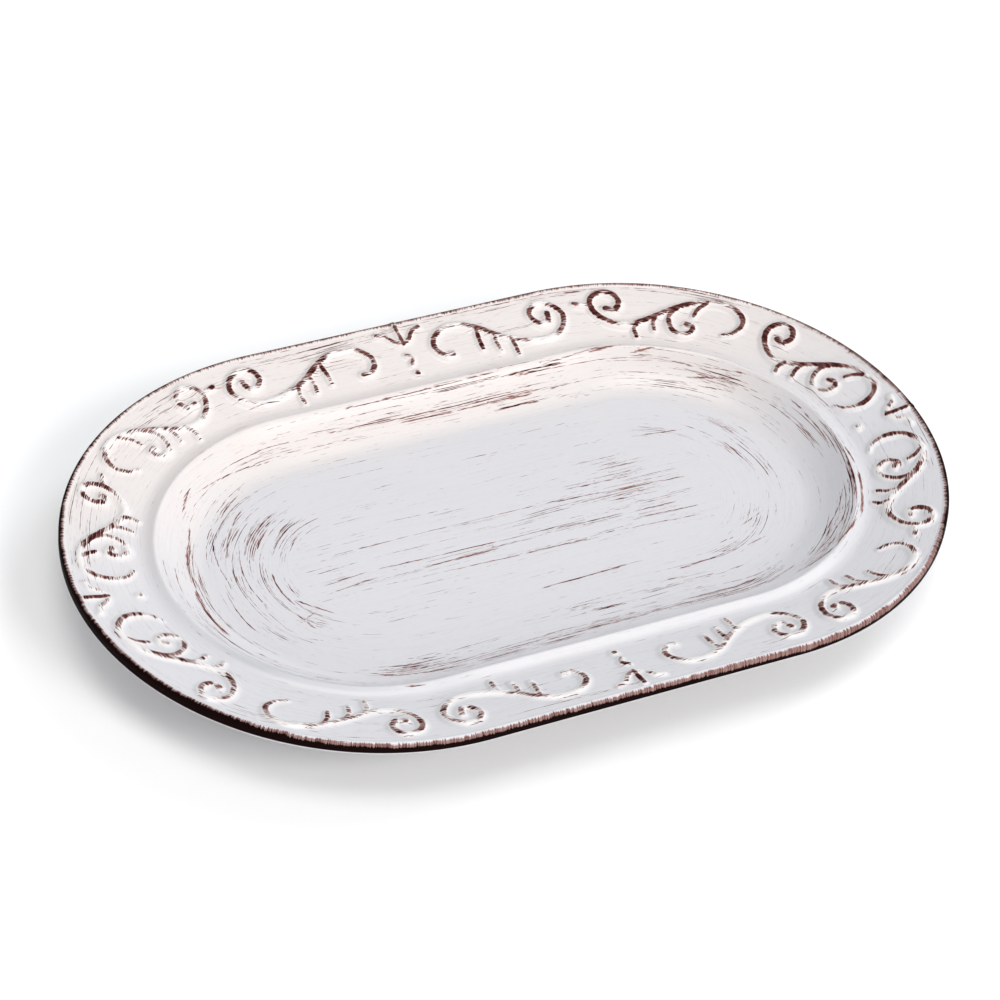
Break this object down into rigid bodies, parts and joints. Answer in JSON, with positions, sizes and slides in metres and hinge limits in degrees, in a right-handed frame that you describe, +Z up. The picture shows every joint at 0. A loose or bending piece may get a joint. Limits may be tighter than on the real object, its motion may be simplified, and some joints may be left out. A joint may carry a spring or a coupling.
{
  "type": "serving platter",
  "caption": "Oval, racetrack-shaped ceramic serving platter with a broad rim, raised scroll relief, a brown glazed lip and a low foot ring.",
  "frame": {"origin": "middle of the footprint, on the surface that the platter stands on", "axes": "+X along the platter's long axis, +Y across it, +Z up, out of the well"},
  "size_m": [0.42, 0.27, 0.0313],
  "materials": {
    "white_glaze": "satin white glaze brushed over a brown one, which shows through in fine streaks",
    "brown_glaze": "glossy dark brown glaze, worn pinkish on its upper edge",
    "sprig_glaze": "the same white glaze, brushed thin so that brown shows on the relief",
    "bare_clay": "unglazed, matte fired clay"
  },
  "bodies": {
    "root": {"platter_body": "white_glaze", "foot_ring": "bare_clay", "edge_band": "brown_glaze", "scroll_right_back_end": "sprig_glaze", "scroll_right_back_shoulder": "sprig_glaze", "scroll_right_back_side": "sprig_glaze", "scroll_left_back_end": "sprig_glaze", "scroll_left_back_shoulder": "sprig_glaze", "scroll_left_back_side": "sprig_glaze", "scroll_left_front_end": "sprig_glaze", "scroll_left_front_shoulder": "sprig_glaze", "scroll_left_front_side": "sprig_glaze", "scroll_right_front_end": "sprig_glaze", "scroll_right_front_shoulder": "sprig_glaze", "scroll_right_front_side": "sprig_glaze", "palmette_right": "sprig_glaze", "palmette_left": "sprig_glaze", "palmette_back": "sprig_glaze", "palmette_front": "sprig_glaze", "drop_stroke_back": "sprig_glaze", "drop_stroke_front": "sprig_glaze", "drop_dot_right": "sprig_glaze", "drop_dot_left": "sprig_glaze", "drop_dot_back": "sprig_glaze", "drop_dot_front": "sprig_glaze"}
  },
  "joints": []
}
